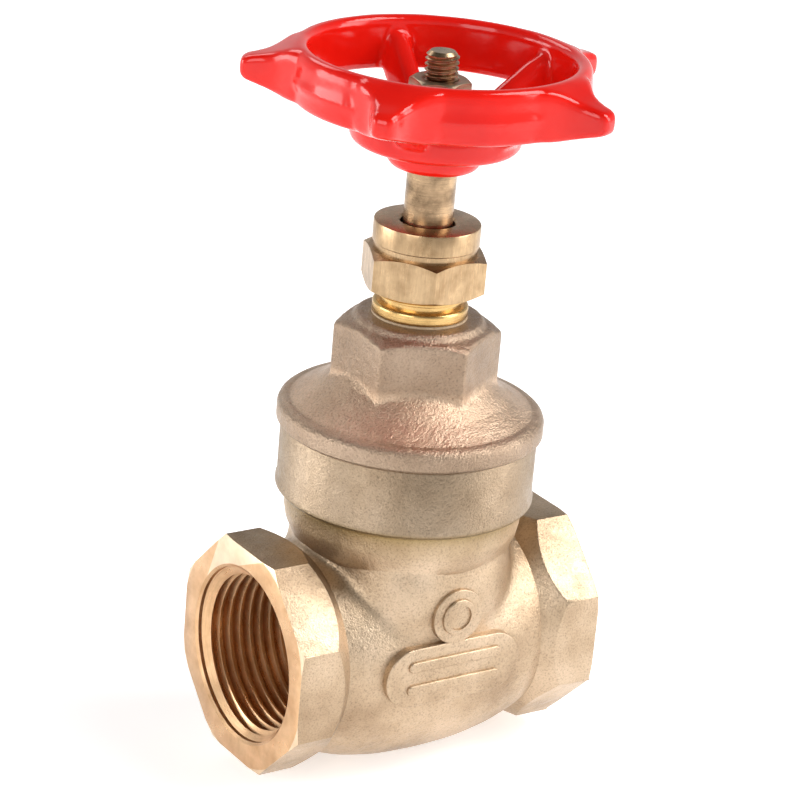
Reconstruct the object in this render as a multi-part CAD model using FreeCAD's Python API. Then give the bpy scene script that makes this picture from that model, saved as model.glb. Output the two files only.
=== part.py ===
"""Screwed-bonnet bronze gate valve, 3/4 inch, inside screw, non-rising stem.

Frame: millimetres. The origin is the centre of the inlet end face, +X runs along the pipe axis to the
outlet and +Z runs up the stem. Every piece is drawn about the point where the stem axis crosses the
pipe axis, and save() moves it half the face-to-face length along X.
The valve is drawn shut: the wedge is down on its seats.
"""
import FreeCAD
import Part
import math
import os

from FreeCAD import Vector

X_AXIS, Y_AXIS, Z_AXIS = Vector(1, 0, 0), Vector(0, 1, 0), Vector(0, 0, 1)
ORIGIN = Vector(0, 0, 0)

# ---------------------------------------------------------------- driving dimensions, millimetres
# Clearances
SCREWED_GAP = 0.03              # radial, between parts that are screwed together and stay so
RUNNING_GAP = 0.05              # radial and endways, between turning parts
SCREW_GAP = 0.12                # radial, from the lifting screw's crests to the plain bore of the wedge
SEAT_GAP = 0.02                 # between wedge and seats when shut
GUIDE_GAP = 0.2

# Pipe ends: G 3/4 parallel pipe thread in an octagonal boss, bored to the thread's crests
FACE_TO_FACE = 54.0
OCTAGON_FLATS = 34.0
OCTAGON_LENGTH = 7.8            # end face to the back of a flat, along its middle
PIPE_MAJOR_RADIUS = 13.2205
PIPE_MINOR_RADIUS = 12.0585
SEAT_WALL = 12.4                # stem axis to the foot of either pipe thread
NECK_RADIUS = PIPE_MAJOR_RADIUS + 2.08
PIPE_MOUTH_RADIUS = PIPE_MAJOR_RADIUS + 0.68
END_FACE_RADIUS = OCTAGON_FLATS / 2 + 0.5       # circle left by the turned chamfer of the end face
END_CHAMFER_SLOPE = 0.35

# Waterway, seats and wedge
WATERWAY_RADIUS = 9.0
SEAT_WIDTH = 2.0
SEAT_OUTER_RADIUS = WATERWAY_RADIUS + SEAT_WIDTH
WEDGE_RADIUS = SEAT_OUTER_RADIUS
WEDGE_HALF_THICKNESS = 5.8      # at the pipe axis
WEDGE_ANGLE = 5.0
WEDGE_BOSS_RADIUS = 6.0
WEDGE_BOSS_TOP = WEDGE_RADIUS + 5.6
WEDGE_EAR_REACH = WEDGE_RADIUS + 0.9
WEDGE_EAR_HALF_DEPTH = 3.4
GUIDE_GROOVE_DEPTH = 1.5
GUIDE_HALF_DEPTH = 1.4
LIFT = WEDGE_RADIUS + WATERWAY_RADIUS           # raises the wedge clear of the waterway

# Casting around the wedge
CHAMBER_HALF_WIDTH = WEDGE_RADIUS + 2.0
BARREL_HALF_WIDTH = CHAMBER_HALF_WIDTH + 3.9    # along Y, to the flat front and back
BARREL_HALF_DEPTH = 14.0        # along X
BARREL_EDGE_RADIUS = 7.0
BELLY_DROP = 2.5                # centre of the round belly below the pipe axis
THROAT_BOTTOM = WEDGE_RADIUS                    # where the throat's cone leaves the barrel
COLLAR_BOTTOM = WEDGE_RADIUS + 12.3
COLLAR_HEIGHT = 10.4
COLLAR_TOP = COLLAR_BOTTOM + COLLAR_HEIGHT
COLLAR_STEP = 1.6               # how far the collar stands out over the throat below it

# Screwed bonnet, measured up from the collar that it seats on
BONNET_BORE_RADIUS = CHAMBER_HALF_WIDTH + 0.3
BONNET_THREAD_RADIUS = BONNET_BORE_RADIUS + 3.7
COLLAR_RADIUS = BONNET_THREAD_RADIUS + 2.65
FLANGE_RADIUS = COLLAR_RADIUS + 0.55
BONNET_SPIGOT_LENGTH = 7.0
JOINT_RING_THICKNESS = 0.8
FLANGE_HEIGHT = 3.3
DOME_HEIGHT = 4.7
HEX_HEIGHT = 8.4
HEX_FLATS = 22.1
HEX_FIRST_CORNER = 31.0
CROWN_HEIGHT = 1.2
CROWN_RADIUS = 9.9
HEX_FOOT = COLLAR_TOP + FLANGE_HEIGHT + DOME_HEIGHT    # where the dome meets the middle of a flat
HEX_TOP = HEX_FOOT + HEX_HEIGHT
CROWN_TOP = HEX_TOP + CROWN_HEIGHT
ROOF_HEIGHT = HEX_FOOT - 2.9    # underside of the dome, at the stem
ROOF_THICKNESS = 2.7

# Lifting screw, in the wedge
SCREW_RADIUS = 4.0
SCREW_LEAD = 3.0                # left-handed, so that clockwise shuts the valve
SCREW_DEPTH = 1.2
STEM_FOOT = WEDGE_BOSS_TOP - 7.0

# Stem and stuffing box
STEM_RADIUS = 3.7
JOURNAL_RADIUS = STEM_RADIUS + 0.4
THRUST_COLLAR_RADIUS = STEM_RADIUS + 2.0
THRUST_COLLAR_BOTTOM = ROOF_HEIGHT + ROOF_THICKNESS
THRUST_COLLAR_HEIGHT = 3.1
BOX_FOOT = THRUST_COLLAR_BOTTOM + THRUST_COLLAR_HEIGHT + RUNNING_GAP
PACKING_RADIUS = STEM_RADIUS + 1.7
BOX_THREAD_RADIUS = PACKING_RADIUS + 1.2
BOX_NECK_RADIUS = BOX_THREAD_RADIUS + 0.3
BOX_SHOULDER_RADIUS = BOX_NECK_RADIUS + 0.3
BOX_SHOULDER_HEIGHT = 1.9
BOX_SEAL_THICKNESS = 0.3
BOX_SHOULDER = CROWN_TOP + BOX_SEAL_THICKNESS
BOX_NECK_PITCH = 1.0
BOX_FLOOR_THICKNESS = 3.45
PACKING_FLOOR = BOX_FOOT + BOX_FLOOR_THICKNESS
PACKING_RING_HEIGHT = 1.9
PACKING_RINGS = 4
PACKING_TOP = PACKING_FLOOR + PACKING_RINGS * PACKING_RING_HEIGHT
BOX_TOP = PACKING_TOP + 5.3

# Gland and its nut
GLAND_FLANGE_HEIGHT = 1.4
GLAND_TOP = BOX_TOP + 2.3
NUT_HEIGHT = 10.4
NUT_ROOF = 2.6
NUT_TOP = GLAND_TOP + NUT_ROOF
NUT_BOTTOM = NUT_TOP - NUT_HEIGHT
NUT_HEX_FLATS = 2 * BOX_NECK_RADIUS + 3.1
NUT_HEX_HEIGHT = 6.1
NUT_COLLAR_RADIUS = BOX_NECK_RADIUS + 1.08
NUT_EYE_RADIUS = STEM_RADIUS + 0.4
NUT_FIRST_CORNER = 6.5

# Handwheel and what holds it
WHEEL_BOTTOM = NUT_TOP + 8.2
STEM_SQUARE = STEM_RADIUS * 1.405
HUB_FOOT_RADIUS = STEM_RADIUS + 2.2
HUB_BOSS_RADIUS = STEM_RADIUS + 3.3             # at the plate; it narrows downwards
HUB_BOSS_HEIGHT = 3.5
HUB_PLATE_RADIUS = 12.8
HUB_PLATE_THICKNESS = 4.4
HUB_PLATE_BOTTOM = WHEEL_BOTTOM + HUB_BOSS_HEIGHT
HUB_PLATE_TOP = HUB_PLATE_BOTTOM + HUB_PLATE_THICKNESS
RIM_OUTER_RADIUS = 22.1
RIM_WALL = 2.75
RIM_INNER_RADIUS = RIM_OUTER_RADIUS - RIM_WALL
RIM_BOTTOM = HUB_PLATE_TOP + 1.4
RIM_HEIGHT = 8.3
RIM_TOP = RIM_BOTTOM + RIM_HEIGHT
LOBES = 5
LOBE_LENGTH = 7.3               # beyond the rim
LOBE_REACH = RIM_OUTER_RADIUS + LOBE_LENGTH
LOBE_FIRST_AZIMUTH = 3.95
LOBE_MIDDLE = RIM_BOTTOM + RIM_HEIGHT * 0.46
LOBE_TIP_HEIGHT = 3.4
LOBE_NOSE_RADIUS = 1.5
LOBE_FLARE_ANGLE = 17.0         # from the middle of a lobe to where its flare joins the rim
SPOKE_TOP_WIDTH = 2.4
SPOKE_FOOT_WIDTH = 4.9
SPOKE_RIM_TOP = RIM_TOP - 3.2
TOP_THREAD_RADIUS = 2.5
TOP_THREAD_PITCH = 0.8
STEM_TOP = HUB_PLATE_TOP + 9.6
WASHER_RADIUS = TOP_THREAD_RADIUS + 2.4
WASHER_THICKNESS = 0.8
WHEEL_NUT_FLATS = 2 * TOP_THREAD_RADIUS + 3.0
WHEEL_NUT_HEIGHT = 4.7

# Badge cast on the front: a plain disc over a plain plate
BADGE_PROUD = 0.45
BADGE_DISC_RADIUS = 4.4
BADGE_DISC_HEIGHT = 8.9
BADGE_PLATE_LENGTH = 24.0
BADGE_PLATE_HEIGHT = 9.6
BADGE_RELIEF = 0.3


# ---------------------------------------------------------------- shapes that repeat
def outline(corners):
    """A closed wire in the XZ plane through (x, z, rounding) corners; rounding 0 is a sharp corner."""
    count = len(corners)
    edges, starts, ends, middles = [], [], [], []
    for index, (x, z, rounding) in enumerate(corners):
        here = Vector(x, 0, z)
        before = Vector(corners[index - 1][0], 0, corners[index - 1][1])
        after = Vector(corners[(index + 1) % count][0], 0, corners[(index + 1) % count][1])
        back, ahead = (before - here).normalize(), (after - here).normalize()
        if rounding == 0:
            starts.append(here)
            ends.append(here)
            middles.append(None)
            continue
        half = back.getAngle(ahead) / 2
        reach = rounding / math.tan(half)
        centre = here + (back + ahead).normalize() * (rounding / math.sin(half))
        starts.append(here + back * reach)
        ends.append(here + ahead * reach)
        middles.append(centre + (here - centre).normalize() * rounding)
    for index in range(count):
        if middles[index] is not None:
            edges.append(Part.Arc(starts[index], middles[index], ends[index]).toShape())
        following = starts[(index + 1) % count]
        if (following - ends[index]).Length > 1e-6:
            edges.append(Part.LineSegment(ends[index], following).toShape())
    return Part.Wire(edges)


def turned(corners):
    """A solid turned about the Z axis from (radius, height, rounding) corners."""
    return Part.Face(outline(corners)).revolve(ORIGIN, Z_AXIS, 360)


def rod(radius, bottom, top):
    return Part.makeCylinder(radius, top - bottom, Vector(0, 0, bottom))


def ring(inner, outer, bottom, top, rounding=0):
    return turned([(inner, bottom, rounding), (outer, bottom, rounding),
                   (outer, top, rounding), (inner, top, rounding)])


def prism(sides, flats, bottom, top, first_corner):
    """An upright prism with this distance across flats and one corner at first_corner degrees."""
    reach = flats / 2 / math.cos(math.pi / sides)
    corners = []
    for index in range(sides + 1):
        angle = math.radians(first_corner) + 2 * math.pi * index / sides
        corners.append(Vector(reach * math.cos(angle), reach * math.sin(angle), bottom))
    return Part.Face(Part.makePolygon(corners)).extrude(Z_AXIS * (top - bottom))


def box(half_x, half_y, bottom, top):
    return Part.makeBox(2 * half_x, 2 * half_y, top - bottom, Vector(-half_x, -half_y, bottom))


def screw_groove(outer, outer_width, inner, inner_width, pitch, bottom, turns, left_handed=False):
    """A helical bar of trapezium section about Z, from radius inner to radius outer."""
    helix = Part.makeHelix(pitch, pitch * turns, (inner + outer) / 2)
    section = Part.makePolygon([Vector(inner, 0, -inner_width / 2), Vector(outer, 0, -outer_width / 2),
                                Vector(outer, 0, outer_width / 2), Vector(inner, 0, inner_width / 2),
                                Vector(inner, 0, -inner_width / 2)])
    bar = Part.Wire(helix).makePipeShell([section], True, True)
    if left_handed:
        bar = bar.mirror(ORIGIN, Y_AXIS)
    return bar.translate(Vector(0, 0, bottom))


def outside_thread(radius, depth, slope, pitch, bottom, turns):
    """The groove to cut in a rod of this radius."""
    root_width = pitch / 2 - depth * slope
    margin = 0.1
    return screw_groove(radius + margin, root_width + 2 * (depth + margin) * slope,
                        radius - depth, root_width, pitch, bottom, turns)


# ---------------------------------------------------------------- body
def pipe_end():
    """One octagonal end with its cone and neck, drawn up Z from the stem axis to the end face."""
    face = FACE_TO_FACE / 2
    back = face - OCTAGON_LENGTH
    corner_radius = OCTAGON_FLATS / 2 / math.cos(math.pi / 8)
    flat_radius = OCTAGON_FLATS / 2
    cone_run = 1.2                  # axial run of the back cone for each millimetre of radius
    over = corner_radius + 1.0
    octagon = prism(8, OCTAGON_FLATS, 0, face, 22.5)
    limit = turned([(0, 0, 0), (NECK_RADIUS, 0, 0),
                    (NECK_RADIUS, back - (flat_radius - NECK_RADIUS) * cone_run, 0),
                    (over, back + (over - flat_radius) * cone_run, 0),
                    (over, face - (over - END_FACE_RADIUS) * END_CHAMFER_SLOPE, 0),
                    (END_FACE_RADIUS, face, 0), (0, face, 0)])
    return octagon.common(limit)


def pipe_bore():
    """The hole of one end, at the crests of its pipe thread, drawn up Z with the end face on top."""
    face = FACE_TO_FACE / 2
    cone = 1.5                      # axial run from the waterway out to the threaded wall
    return turned([(0, SEAT_WALL - cone, 0), (WATERWAY_RADIUS, SEAT_WALL - cone, 0),
                   (PIPE_MINOR_RADIUS, SEAT_WALL, 0),
                   (PIPE_MINOR_RADIUS, face - (PIPE_MOUTH_RADIUS - PIPE_MINOR_RADIUS), 0),
                   (PIPE_MOUTH_RADIUS, face, 0), (PIPE_MOUTH_RADIUS, face + 1, 0), (0, face + 1, 0)])


def barrel_outline(half_width, top):
    """The upright U of the casting, in the YZ plane: straight sides over a round belly."""
    low = -BELLY_DROP
    left, right = Vector(0, -half_width, low), Vector(0, half_width, low)
    return Part.Wire([Part.LineSegment(Vector(0, -half_width, top), left).toShape(),
                      Part.Arc(left, Vector(0, 0, low - half_width), right).toShape(),
                      Part.LineSegment(right, Vector(0, half_width, top)).toShape(),
                      Part.LineSegment(Vector(0, half_width, top), Vector(0, -half_width, top)).toShape()])


def extruded_u(half_width, half_depth, top):
    face = Part.Face(barrel_outline(half_width, top))
    return face.extrude(X_AXIS * (2 * half_depth)).translate(X_AXIS * -half_depth)


def barrel():
    top = COLLAR_BOTTOM + 2
    solid = extruded_u(BARREL_HALF_WIDTH, BARREL_HALF_DEPTH, top)
    rim = []
    for edge in solid.Edges:
        middle = edge.CenterOfMass
        on_side = abs(abs(edge.BoundBox.XMin) - BARREL_HALF_DEPTH) < 0.01 and edge.BoundBox.XLength < 0.01
        if on_side and middle.z < top - 0.01:
            rim.append(edge)
    return solid.makeFillet(BARREL_EDGE_RADIUS, rim)


def belly():
    """The round casting between the ends: stadium sections that narrow and rise towards each neck."""
    reach = FACE_TO_FACE / 2 - OCTAGON_LENGTH
    sections = []
    for share in (-1, -0.85, -0.65, -0.35, 0, 0.35, 0.65, 0.85, 1):
        radius = BARREL_HALF_WIDTH - (BARREL_HALF_WIDTH - NECK_RADIUS) * abs(share) ** 2.2
        drop = BELLY_DROP * (1.1 - abs(share) ** 3)
        station = share * reach
        left_top, right_top = Vector(station, -radius, 0), Vector(station, radius, 0)
        left_low, right_low = Vector(station, -radius, -drop), Vector(station, radius, -drop)
        top, bottom = Vector(station, 0, radius), Vector(station, 0, -drop - radius)
        sections.append(Part.Wire([Part.Arc(left_top, top, right_top).toShape(),
                                   Part.LineSegment(right_top, right_low).toShape(),
                                   Part.Arc(right_low, bottom, left_low).toShape(),
                                   Part.LineSegment(left_low, left_top).toShape()]))
    return Part.makeLoft(sections, True, False)


def collar():
    """The round collar that takes the bonnet, on a throat that widens out of the barrel."""
    throat = COLLAR_RADIUS - COLLAR_STEP
    return turned([(0, THROAT_BOTTOM, 0), (throat - 4.5, THROAT_BOTTOM, 0),
                   (throat, COLLAR_BOTTOM - 4.0, 3.0), (throat, COLLAR_BOTTOM - 0.9, 0.5),
                   (COLLAR_RADIUS, COLLAR_BOTTOM, 0.6),
                   (COLLAR_RADIUS, COLLAR_TOP, 0.3), (0, COLLAR_TOP, 0)])


def badge():
    """A disc standing on a plate with round ends, with plain bars and a ring in low relief."""
    front = -BARREL_HALF_WIDTH - BADGE_PROUD
    inside = BARREL_EDGE_RADIUS / 2
    depth = inside + BADGE_PROUD

    def plate(length, height, level, thickness, start):
        half = (length - height) / 2
        bar = Part.makeBox(2 * half, thickness, height, Vector(-half, start, level - height / 2))
        for side in (-half, half):
            bar = bar.fuse(Part.makeCylinder(height / 2, thickness, Vector(side, start, level), Y_AXIS))
        return bar

    shape = plate(BADGE_PLATE_LENGTH, BADGE_PLATE_HEIGHT, 0, depth, front)
    disc = Part.makeCylinder(BADGE_DISC_RADIUS, depth, Vector(0, front, BADGE_DISC_HEIGHT), Y_AXIS)
    shape = shape.fuse(disc)
    relief = front - BADGE_RELIEF
    for level in (-1.9, 1.9):
        shape = shape.fuse(plate(BADGE_PLATE_LENGTH - 7, 1.8, level, depth, relief))
    ring_out = Part.makeCylinder(2.9, depth, Vector(0, relief, BADGE_DISC_HEIGHT), Y_AXIS)
    ring_in = Part.makeCylinder(2.0, BADGE_RELIEF, Vector(0, relief, BADGE_DISC_HEIGHT), Y_AXIS)
    return shape.fuse(ring_out).cut(ring_in)


def wedge_chamber():
    """The hollow that the wedge slides in, open at the top, less the two seats that reach into it."""
    depth_at_top = WEDGE_HALF_THICKNESS + (COLLAR_TOP + BELLY_DROP) * math.tan(math.radians(WEDGE_ANGLE))
    hollow = extruded_u(CHAMBER_HALF_WIDTH, depth_at_top, COLLAR_TOP)
    top_mouth = rod(CHAMBER_HALF_WIDTH, spigot_foot() - 1, COLLAR_TOP)
    seats = wedge_slab(SEAT_GAP, CHAMBER_HALF_WIDTH * 3)
    slot = hollow.common(seats)
    relieved = hollow.common(wedge_slab(1.2, CHAMBER_HALF_WIDTH * 3))
    for side in (-1, 1):
        boss = Part.makeCylinder(SEAT_OUTER_RADIUS, FACE_TO_FACE, ORIGIN, X_AXIS * side)
        relieved = relieved.cut(boss)
    return slot.fuse(relieved).fuse(top_mouth)


def guide_ribs():
    """Two upright ribs inside the chamber that keep the wedge from turning."""
    inner = WEDGE_EAR_REACH - GUIDE_GROOVE_DEPTH + GUIDE_GAP
    ribs = []
    for side in (-1, 1):
        start = inner if side > 0 else -CHAMBER_HALF_WIDTH - 1
        length = CHAMBER_HALF_WIDTH + 1 - inner
        ribs.append(Part.makeBox(2 * GUIDE_HALF_DEPTH, length, spigot_foot() - 1.5 + BELLY_DROP,
                                 Vector(-GUIDE_HALF_DEPTH, start, -BELLY_DROP)))
    return ribs[0].fuse(ribs[1])


def wedge_slab(gap, half_width):
    """Everything between the two leaning seat planes, each moved out by gap."""
    lean = math.tan(math.radians(WEDGE_ANGLE))
    low, high = -30.0, 60.0
    half = WEDGE_HALF_THICKNESS + gap / math.cos(math.radians(WEDGE_ANGLE))
    corners = [Vector(side * (half + level * lean), -half_width, level)
               for side, level in ((-1, low), (1, low), (1, high), (-1, high), (-1, low))]
    return Part.Face(Part.makePolygon(corners)).extrude(Y_AXIS * (2 * half_width))


def spigot_foot():
    return COLLAR_TOP - BONNET_SPIGOT_LENGTH


def body():
    casting = barrel().fuse(collar()).fuse(belly())
    for turn in (90, -90):
        casting = casting.fuse(pipe_end().rotate(ORIGIN, Y_AXIS, turn))
    casting = casting.fuse(badge())
    casting = casting.cut(wedge_chamber())
    casting = casting.fuse(guide_ribs())
    joint = rod(BONNET_THREAD_RADIUS + SCREWED_GAP, spigot_foot() - JOINT_RING_THICKNESS, COLLAR_TOP + 1)
    casting = casting.cut(joint)
    waterway = Part.makeCylinder(WATERWAY_RADIUS, FACE_TO_FACE, X_AXIS * (-FACE_TO_FACE / 2), X_AXIS)
    casting = casting.cut(waterway)
    for turn in (90, -90):
        casting = casting.cut(pipe_bore().rotate(ORIGIN, Y_AXIS, turn))
    return casting


# ---------------------------------------------------------------- bonnet
def bonnet():
    foot, seat = spigot_foot(), COLLAR_TOP
    flange_top = seat + FLANGE_HEIGHT
    hex_radius = HEX_FLATS / 2
    dome_rise = (HEX_FOOT - flange_top) / (FLANGE_RADIUS - 0.6 - hex_radius)
    outside = turned([(0, foot, 0), (BONNET_THREAD_RADIUS, foot, 0.4), (BONNET_THREAD_RADIUS, seat, 0),
                      (FLANGE_RADIUS, seat, 0.3), (FLANGE_RADIUS, flange_top, 0.9),
                      (hex_radius - 1.0, flange_top + dome_rise * (FLANGE_RADIUS + 0.4 - hex_radius), 0),
                      (hex_radius - 1.0, HEX_TOP, 0), (CROWN_RADIUS, HEX_TOP, 0),
                      (CROWN_RADIUS - 0.4, CROWN_TOP, 0.5), (0, CROWN_TOP, 0)])
    hexagon = prism(6, HEX_FLATS, seat + 1, HEX_TOP, HEX_FIRST_CORNER)
    chamfer = turned([(0, seat, 0), (hex_radius * 1.3, seat, 0), (hex_radius * 1.3, HEX_TOP - 1.8, 0),
                      (hex_radius - 0.3, HEX_TOP, 0), (0, HEX_TOP, 0)])
    solid = outside.fuse(hexagon.common(chamfer))
    recess = THRUST_COLLAR_RADIUS + 0.1
    inside = turned([(0, foot, 0), (BONNET_BORE_RADIUS, foot, 0), (BONNET_BORE_RADIUS, seat + 1.2, 2.0),
                     (WEDGE_BOSS_RADIUS + 2.4, ROOF_HEIGHT - 0.4, 1.0),
                     (JOURNAL_RADIUS + RUNNING_GAP, ROOF_HEIGHT, 0),
                     (JOURNAL_RADIUS + RUNNING_GAP, THRUST_COLLAR_BOTTOM - RUNNING_GAP, 0),
                     (recess, THRUST_COLLAR_BOTTOM - RUNNING_GAP, 0), (recess, BOX_FOOT, 0),
                     (BOX_THREAD_RADIUS + SCREWED_GAP, BOX_FOOT, 0),
                     (BOX_THREAD_RADIUS + SCREWED_GAP, CROWN_TOP, 0), (0, CROWN_TOP, 0)])
    return solid.cut(inside)


def bonnet_joint_ring():
    foot = spigot_foot()
    return ring(BONNET_BORE_RADIUS, BONNET_THREAD_RADIUS - 0.1, foot - JOINT_RING_THICKNESS, foot)


# ---------------------------------------------------------------- stuffing box, packing, gland and its nut
def stuffing_box():
    neck = BOX_SHOULDER + BOX_SHOULDER_HEIGHT
    undercut = neck + 0.7
    solid = turned([(STEM_RADIUS + RUNNING_GAP, BOX_FOOT, 0), (BOX_THREAD_RADIUS, BOX_FOOT, 0.3),
                    (BOX_THREAD_RADIUS, BOX_SHOULDER, 0), (BOX_SHOULDER_RADIUS, BOX_SHOULDER, 0.4),
                    (BOX_SHOULDER_RADIUS, neck, 0.6), (BOX_NECK_RADIUS - 0.8, neck, 0),
                    (BOX_NECK_RADIUS - 0.8, undercut, 0), (BOX_NECK_RADIUS, undercut + 0.4, 0),
                    (BOX_NECK_RADIUS, BOX_TOP, 0.3), (PACKING_RADIUS, BOX_TOP, 0),
                    (PACKING_RADIUS, PACKING_FLOOR, 0), (STEM_RADIUS + RUNNING_GAP, PACKING_FLOOR, 0)])
    depth, slope = 0.55, math.tan(math.radians(30))
    turns = (BOX_TOP - undercut) / BOX_NECK_PITCH
    return solid.cut(outside_thread(BOX_NECK_RADIUS, depth, slope, BOX_NECK_PITCH, undercut + 0.4, turns))


def stuffing_box_seal():
    return ring(BOX_THREAD_RADIUS + SCREWED_GAP, BOX_SHOULDER_RADIUS, CROWN_TOP, BOX_SHOULDER)


def packing_ring(index):
    bottom = PACKING_FLOOR + index * PACKING_RING_HEIGHT
    return ring(STEM_RADIUS + RUNNING_GAP, PACKING_RADIUS, bottom, bottom + PACKING_RING_HEIGHT, 0.25)


def gland():
    flange = BOX_NECK_RADIUS - 0.3
    return turned([(STEM_RADIUS + RUNNING_GAP, PACKING_TOP, 0),
                   (PACKING_RADIUS - RUNNING_GAP, PACKING_TOP, 0),
                   (PACKING_RADIUS - RUNNING_GAP, GLAND_TOP - GLAND_FLANGE_HEIGHT, 0),
                   (flange, GLAND_TOP - GLAND_FLANGE_HEIGHT, 0.2), (flange, GLAND_TOP, 0.2),
                   (STEM_RADIUS + RUNNING_GAP, GLAND_TOP, 0)])


def gland_nut():
    hex_top = NUT_BOTTOM + NUT_HEX_HEIGHT
    radius = NUT_HEX_FLATS / 2
    over = radius * 1.3
    rise = (over - radius + 0.1) * 0.5
    limit = turned([(0, NUT_BOTTOM, 0), (radius - 0.1, NUT_BOTTOM, 0), (over, NUT_BOTTOM + rise, 0),
                    (over, hex_top - rise, 0), (radius - 0.1, hex_top, 0), (0, hex_top, 0)])
    hexagon = prism(6, NUT_HEX_FLATS, NUT_BOTTOM, hex_top, NUT_FIRST_CORNER).common(limit)
    neck = NUT_COLLAR_RADIUS - 0.25
    collar_shape = turned([(0, hex_top - 1, 0), (neck, hex_top - 1, 0), (neck, hex_top + 0.9, 0),
                           (NUT_COLLAR_RADIUS, hex_top + 1.1, 0), (NUT_COLLAR_RADIUS, NUT_TOP, 0.25),
                           (0, NUT_TOP, 0)])
    inside = turned([(0, NUT_BOTTOM, 0), (BOX_NECK_RADIUS + 0.6, NUT_BOTTOM, 0),
                     (BOX_NECK_RADIUS + SCREWED_GAP, NUT_BOTTOM + 0.5, 0),
                     (BOX_NECK_RADIUS + SCREWED_GAP, GLAND_TOP, 0),
                     (NUT_EYE_RADIUS, GLAND_TOP, 0), (NUT_EYE_RADIUS, NUT_TOP - 0.3, 0),
                     (NUT_EYE_RADIUS + 0.3, NUT_TOP, 0), (0, NUT_TOP, 0)])
    return hexagon.fuse(collar_shape).cut(inside)


# ---------------------------------------------------------------- stem and wedge
def lifting_screw():
    """The left-handed groove of the lifting screw."""
    slope = math.tan(math.radians(15))
    depth = SCREW_DEPTH
    root = SCREW_RADIUS - depth
    root_width = SCREW_LEAD / 2 - depth * slope
    margin = 0.3
    turns = (THRUST_COLLAR_BOTTOM - STEM_FOOT - 10.0) / SCREW_LEAD
    return screw_groove(SCREW_RADIUS + margin, root_width + 2 * (depth + margin) * slope, root, root_width,
                        SCREW_LEAD, STEM_FOOT - SCREW_LEAD / 2, turns, True)


def top_thread(bottom):
    """The screwed end that holds the handwheel, from this height up, its chamfer cut after the thread."""
    depth, slope = 0.45, math.tan(math.radians(30))
    foot, spare = bottom + TOP_THREAD_PITCH, 2 * TOP_THREAD_PITCH
    turns = math.floor((STEM_TOP + spare - foot) / TOP_THREAD_PITCH) - 1
    bar = rod(TOP_THREAD_RADIUS, bottom, STEM_TOP + spare)
    bar = bar.cut(outside_thread(TOP_THREAD_RADIUS, depth, slope, TOP_THREAD_PITCH, foot, turns))
    return bar.common(turned([(0, bottom, 0), (TOP_THREAD_RADIUS + 1, bottom, 0),
                              (TOP_THREAD_RADIUS + 1, STEM_TOP - 1.7, 0),
                              (TOP_THREAD_RADIUS - 0.7, STEM_TOP, 0), (0, STEM_TOP, 0)]))


def stem():
    collar_top = THRUST_COLLAR_BOTTOM + THRUST_COLLAR_HEIGHT
    square_top = HUB_PLATE_TOP - 0.4
    solid = turned([(0, STEM_FOOT, 0), (SCREW_RADIUS - 0.8, STEM_FOOT, 0),
                    (SCREW_RADIUS, STEM_FOOT + 0.8, 0), (SCREW_RADIUS, ROOF_HEIGHT - 4, 0),
                    (JOURNAL_RADIUS, ROOF_HEIGHT - 3.9, 0), (JOURNAL_RADIUS, THRUST_COLLAR_BOTTOM, 0),
                    (THRUST_COLLAR_RADIUS, THRUST_COLLAR_BOTTOM, 0.2),
                    (THRUST_COLLAR_RADIUS, collar_top, 0.2), (STEM_RADIUS, collar_top, 0),
                    (STEM_RADIUS, square_top, 0), (0, square_top, 0)])
    blank = rod(STEM_RADIUS + 1, WHEEL_BOTTOM, square_top)
    solid = solid.cut(blank.cut(prism(4, STEM_SQUARE, WHEEL_BOTTOM, square_top, 45)))
    return solid.cut(lifting_screw()).fuse(top_thread(square_top))


def wedge():
    blank = wedge_slab(0, WEDGE_RADIUS + 1)
    disc = Part.makeCylinder(WEDGE_RADIUS, 30, Vector(-15, 0, 0), X_AXIS).common(blank)
    boss = rod(WEDGE_BOSS_RADIUS, 0, WEDGE_BOSS_TOP).common(blank)
    ears = box(WEDGE_EAR_HALF_DEPTH, WEDGE_EAR_REACH, 0, WEDGE_RADIUS)
    solid = disc.fuse(boss).fuse(ears)
    groove_floor = WEDGE_EAR_REACH - GUIDE_GROOVE_DEPTH
    for side in (-1, 1):
        start = groove_floor if side > 0 else -groove_floor - 5
        slot_half = GUIDE_HALF_DEPTH + GUIDE_GAP
        solid = solid.cut(Part.makeBox(2 * slot_half, 5, 40, Vector(-slot_half, start, -20)))
    nut_foot = STEM_FOOT - 0.4
    clear_hole = rod(SCREW_RADIUS + 0.25, STEM_FOOT - LIFT - 0.5, nut_foot)
    tapped_hole = rod(SCREW_RADIUS + SCREW_GAP, nut_foot - 0.1, WEDGE_BOSS_TOP + 1)
    solid = solid.cut(clear_hole)
    return solid.cut(tapped_hole)


# ---------------------------------------------------------------- handwheel
def lobe_azimuths():
    return [LOBE_FIRST_AZIMUTH + 360 / LOBES * index for index in range(LOBES)]


def polar(radius, azimuth, height=0.0):
    angle = math.radians(azimuth)
    return Vector(radius * math.cos(angle), radius * math.sin(angle), height)


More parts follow.
